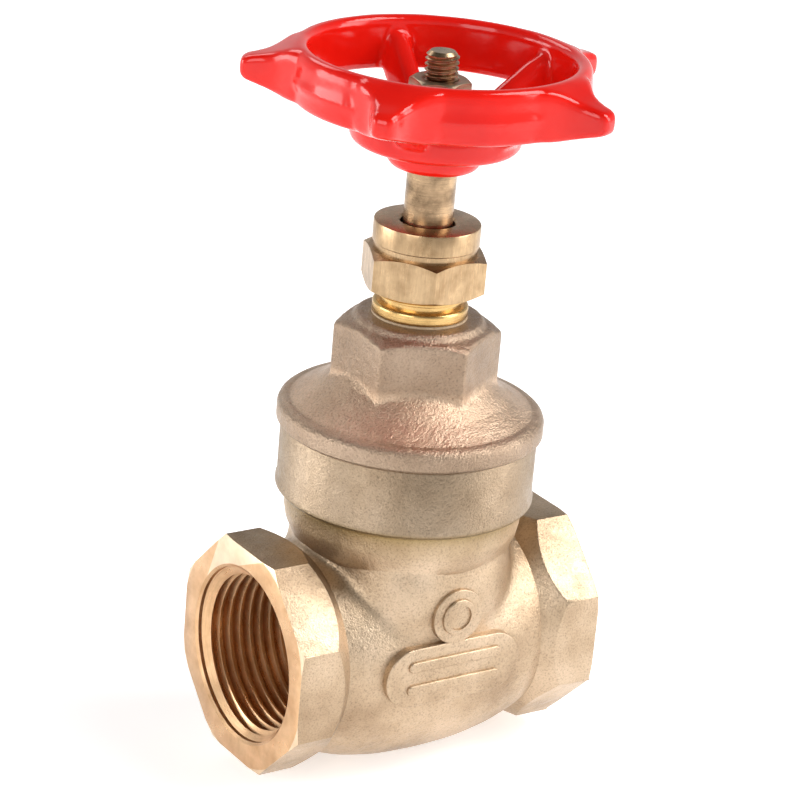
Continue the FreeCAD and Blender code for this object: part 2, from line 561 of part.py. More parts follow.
def star_outline():
    """The rim's outer edge from above: round between lobes, then a hollow flare up to each blunt nose."""
    edges = []
    nose = LOBE_REACH - LOBE_NOSE_RADIUS
    side = math.degrees(LOBE_NOSE_RADIUS / nose) * 0.94
    bend_radius = RIM_OUTER_RADIUS + 1.9
    bend_angle = LOBE_FLARE_ANGLE * 0.42
    for azimuth in lobe_azimuths():
        tip = polar(LOBE_REACH, azimuth)
        left_nose, right_nose = polar(nose + 0.4, azimuth - side), polar(nose + 0.4, azimuth + side)
        left_foot = polar(RIM_OUTER_RADIUS, azimuth - LOBE_FLARE_ANGLE)
        right_foot = polar(RIM_OUTER_RADIUS, azimuth + LOBE_FLARE_ANGLE)
        edges.append(Part.Arc(left_foot, polar(bend_radius, azimuth - bend_angle), left_nose).toShape())
        edges.append(Part.Arc(left_nose, tip, right_nose).toShape())
        edges.append(Part.Arc(right_nose, polar(bend_radius, azimuth + bend_angle), right_foot).toShape())
        next_foot = polar(RIM_OUTER_RADIUS, azimuth + 360 / LOBES - LOBE_FLARE_ANGLE)
        between = polar(RIM_OUTER_RADIUS, azimuth + 180 / LOBES)
        edges.append(Part.Arc(right_foot, between, next_foot).toShape())
    return Part.Wire(edges)


def spoke(azimuth):
    """A rib with leaning sides that climbs from the hub plate to the rim."""
    stations = ((HUB_PLATE_RADIUS - 2.5, HUB_PLATE_BOTTOM + 0.3, HUB_PLATE_TOP - 0.5),
                (RIM_INNER_RADIUS + 0.6, RIM_BOTTOM + 1.0, SPOKE_RIM_TOP))
    sections = []
    for radius, low, high in stations:
        corners = [Vector(radius, width, level) for width, level in
                   ((-SPOKE_FOOT_WIDTH / 2, low), (SPOKE_FOOT_WIDTH / 2, low), (SPOKE_TOP_WIDTH / 2, high),
                    (-SPOKE_TOP_WIDTH / 2, high), (-SPOKE_FOOT_WIDTH / 2, low))]
        sections.append(Part.makePolygon(corners))
    return Part.makeLoft(sections, True, True).rotate(ORIGIN, Z_AXIS, azimuth)


def handwheel():
    rim_blank = Part.Face(star_outline()).extrude(Z_AXIS * (RIM_TOP - RIM_BOTTOM))
    rim_blank = rim_blank.translate(Z_AXIS * RIM_BOTTOM)
    tip_low, tip_high = LOBE_MIDDLE - LOBE_TIP_HEIGHT / 2, LOBE_MIDDLE + LOBE_TIP_HEIGHT / 2
    envelope = turned([(RIM_INNER_RADIUS, RIM_BOTTOM, 0.6), (RIM_OUTER_RADIUS - 0.4, RIM_BOTTOM, 0.6),
                       (LOBE_REACH + 0.1, tip_low, 0.9), (LOBE_REACH + 0.1, tip_high, 0.9),
                       (RIM_OUTER_RADIUS + 0.6, RIM_TOP - 0.8, 2.0), (RIM_OUTER_RADIUS - 0.6, RIM_TOP, 0.8),
                       (RIM_INNER_RADIUS, RIM_TOP, 0.9)])
    wheel = rim_blank.common(envelope)
    hub = turned([(0, WHEEL_BOTTOM, 0), (HUB_FOOT_RADIUS, WHEEL_BOTTOM, 0.9),
                  (HUB_BOSS_RADIUS, WHEEL_BOTTOM + 1.2, 0.9), (HUB_BOSS_RADIUS, HUB_PLATE_BOTTOM, 0.8),
                  (HUB_PLATE_RADIUS - 0.8, HUB_PLATE_BOTTOM, 0.8),
                  (HUB_PLATE_RADIUS, HUB_PLATE_TOP, 0.8), (0, HUB_PLATE_TOP, 0)])
    wheel = wheel.fuse(hub)
    for azimuth in lobe_azimuths():
        wheel = wheel.fuse(spoke(azimuth))
    square_hole = prism(4, STEM_SQUARE + 2 * SCREWED_GAP, WHEEL_BOTTOM - 1, HUB_PLATE_TOP + 1, 45)
    return wheel.cut(square_hole)


def handwheel_washer():
    return ring(TOP_THREAD_RADIUS + 0.1, WASHER_RADIUS, HUB_PLATE_TOP, HUB_PLATE_TOP + WASHER_THICKNESS, 0.2)


def handwheel_nut():
    bottom = HUB_PLATE_TOP + WASHER_THICKNESS
    top = bottom + WHEEL_NUT_HEIGHT
    radius = WHEEL_NUT_FLATS / 2
    over = radius * 1.3
    rise = (over - radius + 0.1) * 0.55
    limit = turned([(0, bottom, 0), (radius - 0.1, bottom, 0), (over, bottom + rise, 0),
                    (over, top - rise, 0), (radius - 0.1, top, 0), (0, top, 0)])
    hole = TOP_THREAD_RADIUS + SCREWED_GAP
    bore = turned([(0, bottom, 0), (hole + 0.3, bottom, 0), (hole, bottom + 0.3, 0), (hole, top - 0.3, 0),
                   (hole + 0.3, top, 0), (0, top, 0)])
    return prism(6, WHEEL_NUT_FLATS, bottom, top, 20).common(limit).cut(bore)


# ---------------------------------------------------------------- the assembly
def save(node, shape):
    placed = shape.translated(X_AXIS * (FACE_TO_FACE / 2))
    solids = placed.Solids
    print(f"{node:20s} solids {len(solids)} valid {placed.isValid()} volume {placed.Volume:10.2f}")
    if len(solids) == 1:
        placed = solids[0]
    placed.exportStep(os.path.join("parts", node + ".step"))


def main():
    os.makedirs("parts", exist_ok=True)
    pieces = {"body": body, "bonnet": bonnet, "bonnet_joint_ring": bonnet_joint_ring,
              "stuffing_box": stuffing_box, "stuffing_box_seal": stuffing_box_seal,
              "gland": gland, "gland_nut": gland_nut, "stem": stem, "wedge": wedge,
              "handwheel": handwheel, "handwheel_washer": handwheel_washer, "handwheel_nut": handwheel_nut}
    for node, make in pieces.items():
        save(node, make())
    for index in range(PACKING_RINGS):
        save(f"packing_ring_{index + 1}", packing_ring(index))


main()
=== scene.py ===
import math

import bpy
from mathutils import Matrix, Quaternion, Vector


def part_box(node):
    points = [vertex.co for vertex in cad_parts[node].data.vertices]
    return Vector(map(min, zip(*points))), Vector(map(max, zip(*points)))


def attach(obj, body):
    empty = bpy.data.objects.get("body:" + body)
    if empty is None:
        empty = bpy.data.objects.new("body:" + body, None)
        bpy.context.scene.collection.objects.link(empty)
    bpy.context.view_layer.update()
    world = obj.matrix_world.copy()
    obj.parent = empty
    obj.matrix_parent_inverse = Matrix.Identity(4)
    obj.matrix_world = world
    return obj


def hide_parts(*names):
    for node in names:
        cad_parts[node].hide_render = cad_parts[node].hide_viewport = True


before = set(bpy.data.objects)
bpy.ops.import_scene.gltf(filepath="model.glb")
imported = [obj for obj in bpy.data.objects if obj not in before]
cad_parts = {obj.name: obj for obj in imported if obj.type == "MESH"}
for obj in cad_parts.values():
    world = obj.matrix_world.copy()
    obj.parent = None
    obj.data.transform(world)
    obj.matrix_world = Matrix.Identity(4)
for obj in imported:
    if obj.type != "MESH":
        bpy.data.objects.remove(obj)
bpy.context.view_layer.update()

# ------------------------------------------------------------------ places and sizes, in metres
MM = 0.001
body_low, body_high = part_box("body")
bonnet_low, bonnet_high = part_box("bonnet")
nut_low, nut_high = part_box("gland_nut")
wheel_low, wheel_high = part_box("handwheel")
wheel_nut_low, wheel_nut_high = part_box("handwheel_nut")
washer_low, washer_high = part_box("handwheel_washer")

STEM_X = (body_low.x + body_high.x) / 2
END_REACH = (body_high.x - body_low.x) / 2
COLLAR_TOP = body_high.z
CROWN_TOP = bonnet_high.z

OCTAGON_FLAT = 17.0 * MM
OCTAGON_CORNER = OCTAGON_FLAT / math.cos(math.pi / 8)
OCTAGON_LENGTH = 7.8 * MM
END_CHAMFER_SLOPE = 0.35
BACK_CONE_RUN = 1.2              # run along the pipe for each millimetre of radius
SHOULDER_RADIUS = 15.3 * MM
THREAD_CREST = 12.0585 * MM
THREAD_ROOT = 13.2205 * MM
THREAD_PITCH = 1.814 * MM
THREAD_LENGTH = 14.6 * MM
MOUTH_RADIUS = 13.9 * MM

BARREL_WIDTH = 16.9 * MM
BARREL_DEPTH = 15.0 * MM
BARREL_EDGE = 12.0 * MM
BELLY_DROP = 2.5 * MM
CASTING_SOFTENING = 45           # smoothing passes over the rough casting
COLLAR_RADIUS = 19.65 * MM
COLLAR_BOTTOM = 23.3 * MM
THROAT_RADIUS = 18.05 * MM
CHAMBER_RADIUS = 13.0 * MM
WATERWAY_RADIUS = 9.0 * MM
SEAT_RADIUS = 11.0 * MM
SEAT_HALF = 5.82 * MM
SEAT_LEAN = math.tan(math.radians(5))
BONNET_THREAD = 17.03 * MM
SPIGOT_FOOT = bonnet_low.z


# ------------------------------------------------------------------ bench tools
def leave_edit():
    if bpy.context.object and bpy.context.object.mode != "OBJECT":
        bpy.ops.object.mode_set(mode="OBJECT")
    bpy.ops.object.select_all(action="DESELECT")


def pick(piece):
    leave_edit()
    piece.select_set(True)
    bpy.context.view_layer.objects.active = piece


def settle(name):
    """Name the active piece and put its place into its mesh."""
    piece = bpy.context.object
    if piece.mode != "OBJECT":
        bpy.ops.object.mode_set(mode="OBJECT")
    bpy.ops.object.transform_apply(location=True, rotation=True, scale=True)
    piece.name = name
    piece.data.name = name
    return piece


def turned(name, profile, centre=(0, 0), axis="Z", segments=128):
    """A closed shape of revolution. profile lists (radius, distance along the axis), ring by ring.

    centre is where the axis crosses the plane square to it. A closed profile ends on its first ring.
    """
    leave_edit()
    along = Vector((0, 0, 1)) if axis == "Z" else Vector((1, 0, 0))
    base = Vector((centre[0], centre[1], 0)) if axis == "Z" else Vector((0, centre[0], centre[1]))
    lean = (0, 0, 0) if axis == "Z" else (0, math.pi / 2, 0)
    radius, level = profile[0]
    bpy.ops.mesh.primitive_circle_add(vertices=segments, radius=radius, fill_type="NOTHING",
                                      location=base + along * level, rotation=lean)
    bpy.ops.object.mode_set(mode="EDIT")
    bpy.ops.mesh.select_all(action="SELECT")
    for next_radius, next_level in profile[1:]:
        bpy.ops.mesh.extrude_region_move(
            TRANSFORM_OT_translate={"value": along * (next_level - level)})
        scale = next_radius / radius
        value = (scale, scale, 1) if axis == "Z" else (1, scale, scale)
        if abs(scale - 1) > 1e-6:
            bpy.ops.transform.resize(value=value, center_override=base + along * next_level)
        radius, level = next_radius, next_level
    bpy.ops.mesh.select_all(action="SELECT")
    bpy.ops.mesh.remove_doubles(threshold=1e-6)
    bpy.ops.mesh.fill_holes(sides=0)
    bpy.ops.mesh.select_all(action="SELECT")
    bpy.ops.mesh.normals_make_consistent(inside=False)
    return settle(name)


def bar_of_sides(name, sides, flats, bottom, top, first_corner, axis="Z"):
    """A prism round the stem or the pipe axis with this distance across its flats."""
    leave_edit()
    corner = flats / 2 / math.cos(math.pi / sides)
    middle = (bottom + top) / 2
    turn = math.radians(first_corner)
    place = (STEM_X, 0, middle) if axis == "Z" else (middle, 0, 0)
    lean = (0, 0, turn - math.pi / 2) if axis == "Z" else (math.pi / 2, turn, math.pi / 2)
    bpy.ops.mesh.primitive_cylinder_add(vertices=sides, radius=corner, depth=top - bottom,
                                        location=place, rotation=lean)
    return settle(name)


def apply_all(piece):
    pick(piece)
    for modifier in list(piece.modifiers):
        bpy.ops.object.modifier_apply(modifier=modifier.name)
    return piece


def combine(piece, other, how):
    modifier = piece.modifiers.new(how.lower(), "BOOLEAN")
    modifier.operation = how
    modifier.solver = "MANIFOLD"
    modifier.object = other
    apply_all(piece)
    bpy.data.objects.remove(other)
    return piece


def bevelled(piece, width, segments=2, angle=30):
    modifier = piece.modifiers.new("edges", "BEVEL")
    modifier.width = width
    modifier.segments = segments
    modifier.limit_method = "ANGLE"
    modifier.angle_limit = math.radians(angle)
    modifier.harden_normals = False
    return apply_all(piece)


def joined(name, pieces):
    pick(pieces[0])
    for piece in pieces:
        piece.select_set(True)
    bpy.ops.object.join()
    return settle(name)


def cast(piece, grain, passes):
    """Melt a rough assembly into one skin with soft inner corners, as a casting has."""
    remesh = piece.modifiers.new("skin", "REMESH")
    remesh.mode = "VOXEL"
    remesh.voxel_size = grain
    soften = piece.modifiers.new("soften", "SMOOTH")
    soften.factor = 0.5
    soften.iterations = passes
    return apply_all(piece)


def select_where(piece, test):
    """Select the corners of the mesh for which test(place) is true, in edit mode."""
    pick(piece)
    bpy.ops.object.mode_set(mode="EDIT")
    bpy.ops.mesh.select_mode(type="VERT")
    bpy.ops.mesh.select_all(action="DESELECT")
    bpy.ops.object.mode_set(mode="OBJECT")
    for corner in piece.data.vertices:
        corner.select = test(corner.co)
    bpy.ops.object.mode_set(mode="EDIT")


def helical_bar(name, axis, radius_in, radius_out, width_in, width_out, pitch, start, turns, steps=48):
    """A bar of trapezium section wound round the pipe (axis X) or the stem (axis Z)."""
    leave_edit()
    bpy.ops.mesh.primitive_plane_add(size=1, location=(0, 0, 0))
    bpy.ops.object.mode_set(mode="OBJECT")
    bar = bpy.context.object
    section = [(-width_in / 2, radius_in), (-width_out / 2, radius_out), (width_in / 2, radius_in),
               (width_out / 2, radius_out)]
    for corner, (along, radius) in zip(bar.data.vertices, section):
        corner.co = (along, 0, radius) if axis == "X" else (radius, 0, along)
    bar.location = (start, 0, 0) if axis == "X" else (STEM_X, 0, start)
    bpy.ops.object.mode_set(mode="EDIT")
    bpy.ops.mesh.select_all(action="SELECT")
    bpy.ops.mesh.delete(type="ONLY_FACE")
    bpy.ops.object.mode_set(mode="OBJECT")
    screw = bar.modifiers.new("winding", "SCREW")
    screw.axis = axis
    screw.screw_offset = pitch
    screw.iterations = turns
    screw.steps = steps
    screw.render_steps = steps
    apply_all(bar)
    bpy.ops.object.mode_set(mode="EDIT")
    bpy.ops.mesh.select_all(action="SELECT")
    bpy.ops.mesh.remove_doubles(threshold=1e-7)
    bpy.ops.mesh.select_all(action="SELECT")
    bpy.ops.mesh.fill_holes(sides=8)
    bpy.ops.mesh.select_all(action="SELECT")
    bpy.ops.mesh.normals_make_consistent(inside=False)
    return settle(name)


def finish_piece(piece, node, body, material, angle=32):
    pick(piece)
    bpy.ops.object.shade_smooth_by_angle(angle=math.radians(angle))
    piece.data.materials.clear()
    piece.data.materials.append(material)
    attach(piece, body)
    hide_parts(node)
    return piece


# ------------------------------------------------------------------ body
def belly():
    """The round casting between the ends, its lower half hung a little lower."""
    reach = END_REACH - OCTAGON_LENGTH
    shares = [-1, -0.85, -0.65, -0.35, 0, 0.35, 0.65, 0.85, 1]
    profile = [(BARREL_WIDTH - (BARREL_WIDTH - SHOULDER_RADIUS) * abs(share) ** 2.2, STEM_X + share * reach)
               for share in shares]
    piece = turned("belly", profile, axis="X", segments=96)
    for share in shares:
        station = STEM_X + share * reach
        drop = BELLY_DROP * (1.1 - abs(share) ** 3)
        select_where(piece, lambda place: abs(place.x - station) < 1e-5 and place.z < -1e-5)
        bpy.ops.transform.translate(value=(0, 0, -drop))
    bpy.ops.object.mode_set(mode="OBJECT")
    return piece


def barrel():
    """The upright block that carries the collar, and the round foot that it grows out of."""
    leave_edit()
    top = COLLAR_BOTTOM + 1.5 * MM
    bpy.ops.mesh.primitive_cube_add(size=1, location=(STEM_X, 0, (top - BELLY_DROP) / 2),
                                    scale=(2 * BARREL_DEPTH, 2 * BARREL_WIDTH, top + BELLY_DROP))
    block = settle("barrel")
    bpy.ops.object.mode_set(mode="EDIT")
    bpy.ops.mesh.select_all(action="DESELECT")
    bpy.ops.object.mode_set(mode="OBJECT")
    for edge in block.data.edges:
        low, high = [block.data.vertices[corner].co for corner in edge.vertices]
        edge.select = abs(low.z - high.z) > 1 * MM
    bpy.ops.object.mode_set(mode="EDIT")
    bpy.ops.mesh.select_mode(type="EDGE")
    bpy.ops.mesh.bevel(offset=BARREL_EDGE, segments=8, affect="EDGES")
    block = settle("barrel")
    rounds = [math.radians(step) for step in range(0, 91, 15)]
    foot = [(BARREL_WIDTH - BARREL_EDGE * (1 - math.sin(angle)),
             STEM_X - BARREL_DEPTH + BARREL_EDGE * (1 - math.cos(angle))) for angle in rounds]
    foot += [(radius, 2 * STEM_X - place) for radius, place in reversed(foot)]
    round_foot = turned("barrel_foot", foot, centre=(0, -BELLY_DROP), axis="X", segments=96)
    return joined("barrel", [block, round_foot])


def octagon_end(side):
    """One threaded end: an octagon bar turned down behind to a cone and chamfered on its face."""
    face = STEM_X + side * END_REACH
    back = face - side * OCTAGON_LENGTH
    over = OCTAGON_CORNER + 1 * MM
    root = SHOULDER_RADIUS - 2.6 * MM
    start = STEM_X + side * 13 * MM
    inner, outer = sorted((start, face))
    bar = bar_of_sides("octagon", 8, 2 * OCTAGON_FLAT, inner, outer, 22.5, axis="X")
    chamfer = OCTAGON_FLAT + 0.5 * MM
    profile = [(root, start), (root, back - side * (OCTAGON_FLAT - root) * BACK_CONE_RUN),
               (over, back + side * (over - OCTAGON_FLAT) * BACK_CONE_RUN),
               (over, face - side * (over - chamfer) * END_CHAMFER_SLOPE), (chamfer, face)]
    combine(bar, turned("end_limit", profile, axis="X", segments=160), "INTERSECT")
    return bevelled(bar, 0.45 * MM, 3, 20)


def collar():
    """The round collar over the throat, with a raised lip round its lower edge."""
    profile = [(13.5 * MM, 11.0 * MM), (15.2 * MM, 13.6 * MM), (16.9 * MM, 16.2 * MM),
               (17.7 * MM, 18.0 * MM), (THROAT_RADIUS, 19.8 * MM), (THROAT_RADIUS, 22.0 * MM),
               (18.3 * MM, 22.5 * MM), (19.3 * MM, 22.95 * MM), (COLLAR_RADIUS, 23.4 * MM),
               (COLLAR_RADIUS, 24.0 * MM), (19.45 * MM, 24.5 * MM), (19.45 * MM, COLLAR_TOP - 0.5 * MM),
               (19.25 * MM, COLLAR_TOP - 0.15 * MM), (19.0 * MM, COLLAR_TOP)]
    return turned("collar", profile, centre=(STEM_X, 0), segments=192)


def round_ended_plate(length, height, level, thickness, start):
    """A flat plate with round ends that stands on the front of the body."""
    leave_edit()
    bpy.ops.mesh.primitive_circle_add(vertices=48, radius=height / 2, fill_type="NGON",
                                      location=(STEM_X, start, level), rotation=(math.pi / 2, 0, 0))
    piece = settle("plate")
    half = (length - height) / 2
    select_where(piece, lambda place: place.x > STEM_X + 1e-6)
    bpy.ops.transform.translate(value=(half, 0, 0))
    select_where(piece, lambda place: place.x < STEM_X - 1e-6)
    bpy.ops.transform.translate(value=(-half, 0, 0))
    bpy.ops.mesh.select_all(action="SELECT")
    bpy.ops.mesh.extrude_region_move(TRANSFORM_OT_translate={"value": (0, thickness, 0)})
    bpy.ops.mesh.select_all(action="SELECT")
    bpy.ops.mesh.normals_make_consistent(inside=False)
    return settle("plate")


def badge():
    """A plain disc standing on a plain plate, with a ring and two bars in low relief."""
    front = -BARREL_WIDTH - 0.5 * MM
    relief = front - 0.4 * MM
    depth = 4.0 * MM
    parts = [round_ended_plate(24 * MM, 9.6 * MM, 0, depth, front),
             round_ended_plate(8.8 * MM, 8.8 * MM, 8.9 * MM, depth, front)]
    for level in (-1.9 * MM, 1.9 * MM):
        parts.append(round_ended_plate(16.5 * MM, 1.7 * MM, level, depth, relief))
    parts.append(round_ended_plate(5.8 * MM, 5.8 * MM, 8.9 * MM, depth, relief))
    for part in parts:
        bevelled(part, 0.22 * MM, 3, 40)
    for part in parts[1:]:
        combine(parts[0], part, "UNION")
    return combine(parts[0], round_ended_plate(4.0 * MM, 4.0 * MM, 8.9 * MM, 0.3 * MM, relief), "DIFFERENCE")


def seat_slab(gap):
    """The leaning slot that the wedge slides in."""
    leave_edit()
    low, high = -20 * MM, COLLAR_TOP
    bpy.ops.mesh.primitive_cube_add(size=1, location=(STEM_X, 0, (low + high) / 2),
                                    scale=(1, 2 * CHAMBER_RADIUS, high - low))
    slab = settle("slab")
    for corner in slab.data.vertices:
        side = 1 if corner.co.x > STEM_X else -1
        corner.co.x = STEM_X + side * (SEAT_HALF + gap + corner.co.z * SEAT_LEAN)
    return slab


def chamber_blank():
    """The upright hollow with a round foot."""
    leave_edit()
    depth = 24 * MM
    bpy.ops.mesh.primitive_cylinder_add(vertices=96, radius=CHAMBER_RADIUS, depth=depth,
                                        location=(STEM_X, 0, -BELLY_DROP), rotation=(0, math.pi / 2, 0))
    foot = settle("chamber")
    leave_edit()
    top = COLLAR_TOP + 1 * MM
    bpy.ops.mesh.primitive_cube_add(size=1, location=(STEM_X, 0, (top - BELLY_DROP) / 2),
                                    scale=(depth, 2 * CHAMBER_RADIUS, top + BELLY_DROP))
    return combine(foot, settle("chamber_top"), "UNION")


def hollow_out(casting):
    """Cut the wedge's chamber, the waterway, both threaded ends and the bonnet's hole."""
    combine(casting, combine(chamber_blank(), seat_slab(0), "INTERSECT"), "DIFFERENCE")
    relief = combine(chamber_blank(), seat_slab(1.2 * MM), "INTERSECT")
    relief = combine(relief, turned("seat_ring", [(SEAT_RADIUS, STEM_X - 20 * MM),
                                                  (SEAT_RADIUS, STEM_X + 20 * MM)], axis="X"), "DIFFERENCE")
    combine(casting, relief, "DIFFERENCE")
    top = COLLAR_TOP + 1 * MM
    mouth = [(CHAMBER_RADIUS, SPIGOT_FOOT - 2.5 * MM), (CHAMBER_RADIUS, SPIGOT_FOOT - 0.8 * MM),
             (BONNET_THREAD, SPIGOT_FOOT - 0.8 * MM), (BONNET_THREAD, top)]
    combine(casting, turned("mouth", mouth, centre=(STEM_X, 0)), "DIFFERENCE")
    inner = THREAD_LENGTH + 1.5 * MM
    bore = [(MOUTH_RADIUS, body_low.x - 1 * MM), (MOUTH_RADIUS, body_low.x),
            (13.45 * MM, body_low.x + 0.35 * MM), (13.4 * MM, body_low.x + 0.9 * MM),
            (THREAD_CREST, body_low.x + 1.9 * MM),
            (THREAD_CREST, body_low.x + THREAD_LENGTH), (WATERWAY_RADIUS, body_low.x + inner)]
    far = [(radius, 2 * STEM_X - place) for radius, place in reversed(bore)]
    combine(casting, turned("bore", bore + far, axis="X", segments=128), "DIFFERENCE")
    flank = math.tan(math.radians(27.5))
    tip = THREAD_PITCH / 6
    inside = 0.25 * MM
    wide = tip + 2 * (THREAD_ROOT - THREAD_CREST + inside) * flank
    for start, turns in ((body_low.x - 0.6 * MM, 8), (body_high.x - THREAD_LENGTH + 0.9 * MM, 8)):
        thread = helical_bar("pipe_thread", "X", THREAD_CREST - inside, THREAD_ROOT, wide, tip,
                             THREAD_PITCH, start, turns, steps=72)
        combine(casting, thread, "DIFFERENCE")
    return casting


def make_body():
    inner = THROAT_RADIUS - 0.2 * MM
    throat = turned("throat", [(13.0 * MM, 9.0 * MM), (15.6 * MM, 14.2 * MM), (17.2 * MM, 18.0 * MM),
                               (inner, 20.0 * MM), (inner, 24.0 * MM)], centre=(STEM_X, 0))
    reach = 22 * MM
    neck = turned("neck", [(SHOULDER_RADIUS, STEM_X - reach), (SHOULDER_RADIUS, STEM_X + reach)], axis="X")
    casting = cast(joined("casting", [belly(), barrel(), throat, neck]), 0.5 * MM, CASTING_SOFTENING)
    for side in (-1, 1):
        combine(casting, octagon_end(side), "UNION")
    combine(casting, collar(), "UNION")
    combine(casting, badge(), "UNION")
    hollow_out(casting)
    casting.name = "valve_body"
    return casting


def face_and_bore(casting, face_material, bore_material):
    """Give the machined end faces and the threaded bores finishes of their own."""
    casting.data.materials.append(face_material)
    casting.data.materials.append(bore_material)
    for face in casting.data.polygons:
        place = face.center
        away = abs(place.x - STEM_X)
        reach = math.hypot(place.y, place.z)
        if away > END_REACH - 1.0 * MM and abs(face.normal.x) > 0.5 and reach < OCTAGON_CORNER:
            face.material_index = 1
        if away > END_REACH - THREAD_LENGTH - 1.6 * MM and reach < MOUTH_RADIUS - 0.05 * MM:
            face.material_index = 2


# ------------------------------------------------------------------ bonnet
FLANGE_TOP = COLLAR_TOP + 3.3 * MM
HEX_TOP = CROWN_TOP - 1.2 * MM
HEX_FLATS = 22.1 * MM
FLANGE_RADIUS = (bonnet_high.x - bonnet_low.x) / 2


def make_bonnet():
    dome = turned("dome", [(19.0 * MM, COLLAR_TOP + 1 * MM), (19.0 * MM, FLANGE_TOP - 0.2 * MM),
                           (17.5 * MM, FLANGE_TOP + 0.55 * MM), (14.6 * MM, FLANGE_TOP + 2.2 * MM),
                           (12.0 * MM, FLANGE_TOP + 4.3 * MM), (10.9 * MM, FLANGE_TOP + 5.6 * MM),
                           (10.6 * MM, HEX_TOP - 1 * MM)], centre=(STEM_X, 0))
    hexagon = bar_of_sides("hexagon", 6, HEX_FLATS, COLLAR_TOP + 2 * MM, HEX_TOP, 31.0)
    over = HEX_FLATS / 2 * 1.3
    limit = [(over, COLLAR_TOP), (over, HEX_TOP - 1.8 * MM), (HEX_FLATS / 2 - 0.3 * MM, HEX_TOP)]
    combine(hexagon, turned("hex_limit", limit, centre=(STEM_X, 0)), "INTERSECT")
    crown = turned("crown", [(9.9 * MM, HEX_TOP - 1 * MM), (9.9 * MM, HEX_TOP + 0.45 * MM),
                             (9.5 * MM, CROWN_TOP - 0.1 * MM), (9.0 * MM, CROWN_TOP)], centre=(STEM_X, 0))
    bonnet = cast(joined("bonnet", [dome, hexagon, crown]), 0.36 * MM, 6)
    flange = [(BONNET_THREAD - 0.05 * MM, COLLAR_TOP - 5 * MM), (BONNET_THREAD - 0.05 * MM, COLLAR_TOP),
              (FLANGE_RADIUS - 0.35 * MM, COLLAR_TOP), (FLANGE_RADIUS, COLLAR_TOP + 0.35 * MM),
              (FLANGE_RADIUS, FLANGE_TOP - 1.1 * MM), (FLANGE_RADIUS - 0.25 * MM, FLANGE_TOP - 0.5 * MM),
              (FLANGE_RADIUS - 0.8 * MM, FLANGE_TOP - 0.05 * MM), (18.6 * MM, FLANGE_TOP + 0.12 * MM),
              (16.5 * MM, FLANGE_TOP + 0.2 * MM)]
    combine(bonnet, turned("flange", flange, centre=(STEM_X, 0), segments=192), "UNION")
    spigot = [(BONNET_THREAD - 0.45 * MM, SPIGOT_FOOT), (BONNET_THREAD - 0.05 * MM, SPIGOT_FOOT + 0.4 * MM),
              (BONNET_THREAD - 0.05 * MM, COLLAR_TOP + 1 * MM)]
    combine(bonnet, turned("spigot", spigot, centre=(STEM_X, 0), segments=128), "UNION")
    box_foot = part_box("stuffing_box")[0].z
    inside = [(13.3 * MM, SPIGOT_FOOT - 1 * MM), (13.3 * MM, COLLAR_TOP + 0.6 * MM),
              (12.6 * MM, COLLAR_TOP + 2.0 * MM), (8.6 * MM, COLLAR_TOP + 4.5 * MM),
              (7.8 * MM, COLLAR_TOP + 4.9 * MM), (4.15 * MM, COLLAR_TOP + 5.1 * MM),
              (4.15 * MM, box_foot - 3.2 * MM), (5.8 * MM, box_foot - 3.2 * MM), (5.8 * MM, box_foot),
              (6.63 * MM, box_foot), (6.63 * MM, CROWN_TOP + 1 * MM)]
    combine(bonnet, turned("inside", inside, centre=(STEM_X, 0), segments=96), "DIFFERENCE")
    bonnet.name = "valve_bonnet"
    return bonnet


# ------------------------------------------------------------------ nuts and washer
def hexagon_nut(name, flats, bottom, top, first_corner, bore, rise):
    nut = bar_of_sides(name, 6, flats, bottom, top, first_corner)
    over = flats / 2 * 1.3
    inner = flats / 2 - 0.1 * MM
    slope = (over - inner) * rise
    limit = [(inner, bottom), (over, bottom + slope), (over, top - slope), (inner, top)]
    combine(nut, turned("chamfers", limit, centre=(STEM_X, 0), segments=128), "INTERSECT")
    return combine(nut, turned("bore", bore, centre=(STEM_X, 0), segments=96), "DIFFERENCE")


def make_gland_nut():
    bottom, top = nut_low.z, nut_high.z
    hex_top = bottom + 6.1 * MM
    gland_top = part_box("gland")[1].z
    bore = [(7.5 * MM, bottom - 0.1 * MM), (6.93 * MM, bottom + 0.5 * MM), (6.93 * MM, gland_top)]
    nut = hexagon_nut("gland_nut_brass", 16.9 * MM, bottom, hex_top, 6.5, bore, 0.5)
    collar = [(6.93 * MM, hex_top - 1 * MM), (7.73 * MM, hex_top - 1 * MM), (7.73 * MM, hex_top + 0.9 * MM),
              (7.98 * MM, hex_top + 1.1 * MM), (7.98 * MM, top - 0.3 * MM), (7.9 * MM, top - 0.1 * MM),
              (7.65 * MM, top), (4.4 * MM, top), (4.1 * MM, top - 0.3 * MM), (4.1 * MM, gland_top),
              (6.93 * MM, gland_top), (6.93 * MM, hex_top - 1 * MM)]
    combine(nut, turned("nut_collar", collar, centre=(STEM_X, 0), segments=160), "UNION")
    return bevelled(nut, 0.1 * MM, 2, 25)


def make_wheel_nut():
    bottom, top = wheel_nut_low.z, wheel_nut_high.z
    bore = [(2.85 * MM, bottom - 0.05 * MM), (2.53 * MM, bottom + 0.3 * MM), (2.53 * MM, top - 0.3 * MM),
            (2.85 * MM, top + 0.05 * MM)]
    nut = hexagon_nut("wheel_nut", 8.0 * MM, bottom, top, 20, bore, 0.55)
    return bevelled(nut, 0.1 * MM, 2, 25)


def make_washer():
    low, high = washer_low.z, washer_high.z
    outer = (washer_high.x - washer_low.x) / 2
    hole = 2.6 * MM
    profile = [(hole, low), (outer - 0.15 * MM, low), (outer, low + 0.15 * MM), (outer, high - 0.25 * MM),
               (outer - 0.25 * MM, high), (hole, high), (hole, low)]
    return turned("wheel_washer", profile, centre=(STEM_X, 0), segments=96)


